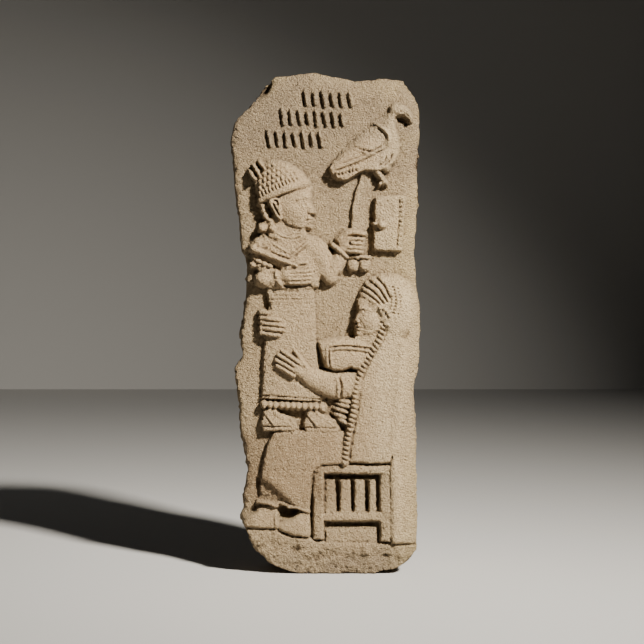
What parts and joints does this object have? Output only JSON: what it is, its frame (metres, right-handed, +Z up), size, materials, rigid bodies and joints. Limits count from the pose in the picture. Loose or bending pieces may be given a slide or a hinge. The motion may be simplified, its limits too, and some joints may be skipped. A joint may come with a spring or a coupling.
{
  "type": "carved stone stele",
  "caption": "Upright stone slab carved in high relief: a robed youth with a stylus and a leashed falcon stands on the lap of a seated, veiled woman.",
  "frame": {"origin": "under the middle of the stone's bounding box, on the surface that it stands on", "axes": "+Z up the stone, +X to the viewer's right, the carved face looks along -Y and the flat back along +Y"},
  "size_m": [0.283, 0.16, 0.745],
  "materials": {
    "buff_stone": "weathered coarse buff stone, matt, with grey patina"
  },
  "bodies": {
    "root": {"stele": "buff_stone"}
  },
  "joints": []
}
